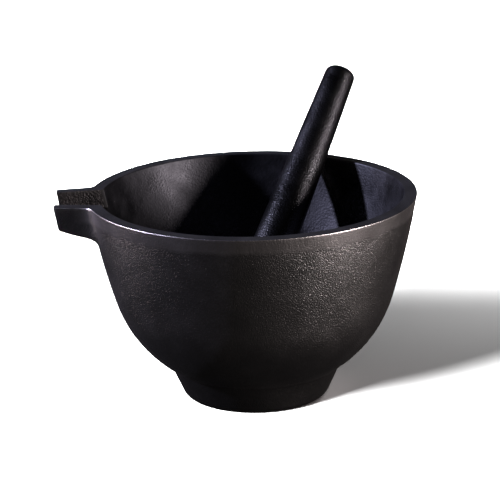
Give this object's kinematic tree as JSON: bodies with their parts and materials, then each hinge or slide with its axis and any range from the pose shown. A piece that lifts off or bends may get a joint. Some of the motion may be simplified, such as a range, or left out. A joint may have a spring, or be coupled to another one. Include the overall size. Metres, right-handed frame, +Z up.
{
  "type": "mortar and pestle",
  "caption": "Cast-iron mortar with a round foot and an open pouring spout, and a tapered cast-iron rod pestle that leans in the bowl.",
  "frame": {"origin": "centre of the ring that the foot stands on", "axes": "+Z up along the bowl's axis; -X out through the pouring spout; the pestle leans towards +X and +Y"},
  "size_m": [0.1645, 0.1614, 0.1363],
  "materials": {
    "mortar_iron": "sand-cast, oil-seasoned black, satin; rim ground flat",
    "pestle_iron": "cast, rubbed smooth and oil-seasoned black, satin"
  },
  "bodies": {
    "mortar": {"mortar": "mortar_iron"},
    "pestle": {"pestle": "pestle_iron"}
  },
  "joints": [
    {"name": "pestle_lift", "type": "slide", "parent": "mortar", "child": "pestle", "axis": [0, 0, 1], "range_m": [0, 0.12]}
  ]
}
